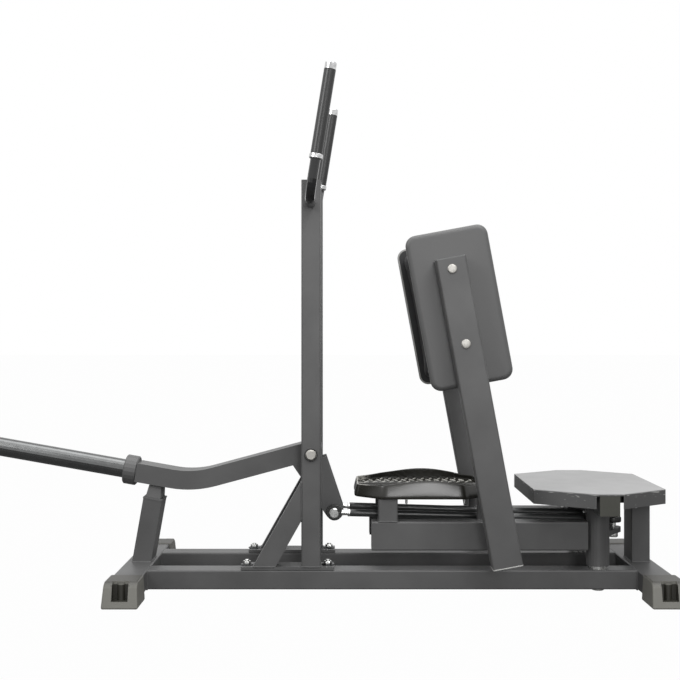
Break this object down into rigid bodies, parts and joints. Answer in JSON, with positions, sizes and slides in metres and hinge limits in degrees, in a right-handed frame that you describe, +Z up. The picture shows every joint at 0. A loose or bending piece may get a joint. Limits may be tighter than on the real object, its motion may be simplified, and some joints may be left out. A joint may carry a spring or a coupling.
{
  "type": "hip abductor machine",
  "caption": "Plate-loaded standing hip abductor: a bent weight lever pulls push rods that swing foot pedals and thigh pads outward on a welded frame with a rear step and handles.",
  "frame": {"origin": "middle of the footprint of the whole machine, on the floor", "axes": "+X runs from the plate sleeve in front to the step behind, +Y to the user's right, +Z up"},
  "size_m": [1.8264, 0.596, 1.3362],
  "materials": {
    "frame_paint": "satin charcoal powder coat",
    "sleeve_steel": "dark turned steel",
    "bright_steel": "zinc plated",
    "black_rubber": "matte",
    "mat_rubber": "pale grip mat",
    "foot_plastic": "olive grey moulding",
    "black_plastic": "black moulding",
    "rod_paint": "black",
    "board_plastic": "dark grey back panel",
    "pad_vinyl": "black upholstery vinyl"
  },
  "bodies": {
    "frame": {"left_rail": "frame_paint", "right_rail": "frame_paint", "front_cross_beam": "frame_paint", "rear_cross_beam": "frame_paint", "front_left_foot": "foot_plastic", "front_right_foot": "foot_plastic", "rear_left_foot": "foot_plastic", "rear_right_foot": "foot_plastic", "left_upright": "frame_paint", "right_upright": "frame_paint", "left_base_plate": "frame_paint", "right_base_plate": "frame_paint", "left_brace": "frame_paint", "right_brace": "frame_paint", "left_handle": "frame_paint", "right_handle": "frame_paint", "left_grip": "black_rubber", "right_grip": "black_rubber", "left_grip_collar": "bright_steel", "right_grip_collar": "bright_steel", "left_grip_cap": "bright_steel", "right_grip_cap": "bright_steel", "stop_post": "frame_paint", "stop_bumper": "black_rubber", "lever_axle": "bright_steel", "left_pivot_axle": "bright_steel", "right_pivot_axle": "bright_steel", "step_leg": "frame_paint", "step_cross_tube": "frame_paint", "left_cross_tube_cap": "foot_plastic", "right_cross_tube_cap": "foot_plastic", "step_deck": "frame_paint", "step_mat": "mat_rubber"},
    "lever": {"lever_arm": "frame_paint", "sleeve_collar": "frame_paint", "weight_sleeve": "sleeve_steel", "sleeve_end_cap": "black_plastic", "left_link_plate": "frame_paint", "right_link_plate": "frame_paint", "link_pin": "bright_steel"},
    "left_ball": {"left_rod_ball": "bright_steel"},
    "right_ball": {"right_rod_ball": "bright_steel"},
    "left_rod": {"left_push_rod": "rod_paint"},
    "right_rod": {"right_push_rod": "rod_paint"},
    "left_swing": {"left_pivot_sleeve": "frame_paint", "left_swing_arm": "frame_paint", "left_pedal_front_post": "frame_paint", "left_pedal_rear_post": "frame_paint", "left_pedal": "black_plastic", "left_pad_post": "frame_paint", "left_pad_board": "board_plastic", "left_pad": "pad_vinyl"},
    "right_swing": {"right_pivot_sleeve": "frame_paint", "right_swing_arm": "frame_paint", "right_pedal_front_post": "frame_paint", "right_pedal_rear_post": "frame_paint", "right_pedal": "black_plastic", "right_pad_post": "frame_paint", "right_pad_board": "board_plastic", "right_pad": "pad_vinyl"}
  },
  "joints": [
    {"name": "lever_pivot", "type": "hinge", "parent": "frame", "child": "lever", "pos_m": [-0.0085, 0, 0.357], "axis": [0, 1, 0], "range_deg": [0, 12.96]},
    {"name": "left_swing_pivot", "type": "hinge", "parent": "frame", "child": "left_swing", "pos_m": [0.736, -0.109, 0.142], "axis": [0, 0, 1], "range_deg": [0, 28.1]},
    {"name": "right_swing_pivot", "type": "hinge", "parent": "frame", "child": "right_swing", "pos_m": [0.736, 0.109, 0.142], "axis": [0, 0, -1], "range_deg": [0, 28.1]},
    {"name": "left_rod_pitch", "type": "hinge", "parent": "lever", "child": "left_ball", "pos_m": [0.051, -0.058, 0.1956], "axis": [0, 1, 0], "range_deg": [-13.8, 0]},
    {"name": "right_rod_pitch", "type": "hinge", "parent": "lever", "child": "right_ball", "pos_m": [0.051, 0.058, 0.1956], "axis": [0, 1, 0], "range_deg": [-13.8, 0]},
    {"name": "left_rod_yaw", "type": "hinge", "parent": "left_ball", "child": "left_rod", "pos_m": [0.051, -0.058, 0.1956], "axis": [0, 0, 1], "range_deg": [0, 1.7]},
    {"name": "right_rod_yaw", "type": "hinge", "parent": "right_ball", "child": "right_rod", "pos_m": [0.051, 0.058, 0.1956], "axis": [0, 0, -1], "range_deg": [0, 1.7]}
  ],
  "couplings": [
    {"joint": "left_swing_pivot", "follows": "lever_pivot", "ratio": 2.1602},
    {"joint": "right_swing_pivot", "follows": "lever_pivot", "ratio": 2.1602},
    {"joint": "left_rod_pitch", "follows": "lever_pivot", "ratio": -1.055},
    {"joint": "right_rod_pitch", "follows": "lever_pivot", "ratio": -1.055},
    {"joint": "left_rod_yaw", "follows": "lever_pivot", "ratio": 0.124},
    {"joint": "right_rod_yaw", "follows": "lever_pivot", "ratio": 0.124}
  ]
}
